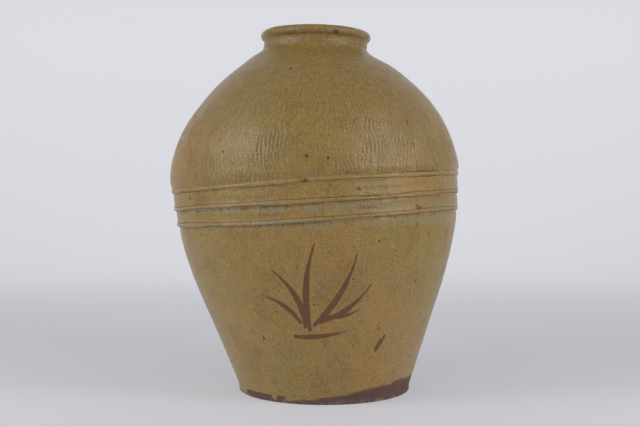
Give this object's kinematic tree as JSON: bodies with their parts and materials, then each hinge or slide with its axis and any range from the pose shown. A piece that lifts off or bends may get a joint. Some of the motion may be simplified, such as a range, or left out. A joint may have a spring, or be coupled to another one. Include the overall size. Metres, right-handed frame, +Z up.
{
  "type": "onggi jar",
  "caption": "Large coil-built storage jar in brown ash-glazed stoneware, with a small rolled mouth, round shoulder, raised bands at the belly and a narrow flat foot.",
  "frame": {"origin": "on the floor, under the middle of the belly", "axes": "+Z up through the mouth, the pictured side faces -Y, and the lower body leans towards -X as it rises"},
  "size_m": [0.4016, 0.402, 0.5],
  "materials": {
    "glaze": "satin",
    "band_glaze": "satin",
    "bare_clay": "matte"
  },
  "bodies": {
    "root": {"base_slab": "bare_clay", "base_seam_coil": "glaze", "wall_course_1": "glaze", "wall_course_2": "glaze", "wall_course_3": "glaze", "shoulder_course_1": "glaze", "shoulder_course_2": "glaze", "shoulder_course_3": "glaze", "neck_ring": "glaze", "lip_roll": "glaze", "band_upper": "band_glaze", "band_middle": "band_glaze", "band_lower": "band_glaze"}
  },
  "joints": []
}
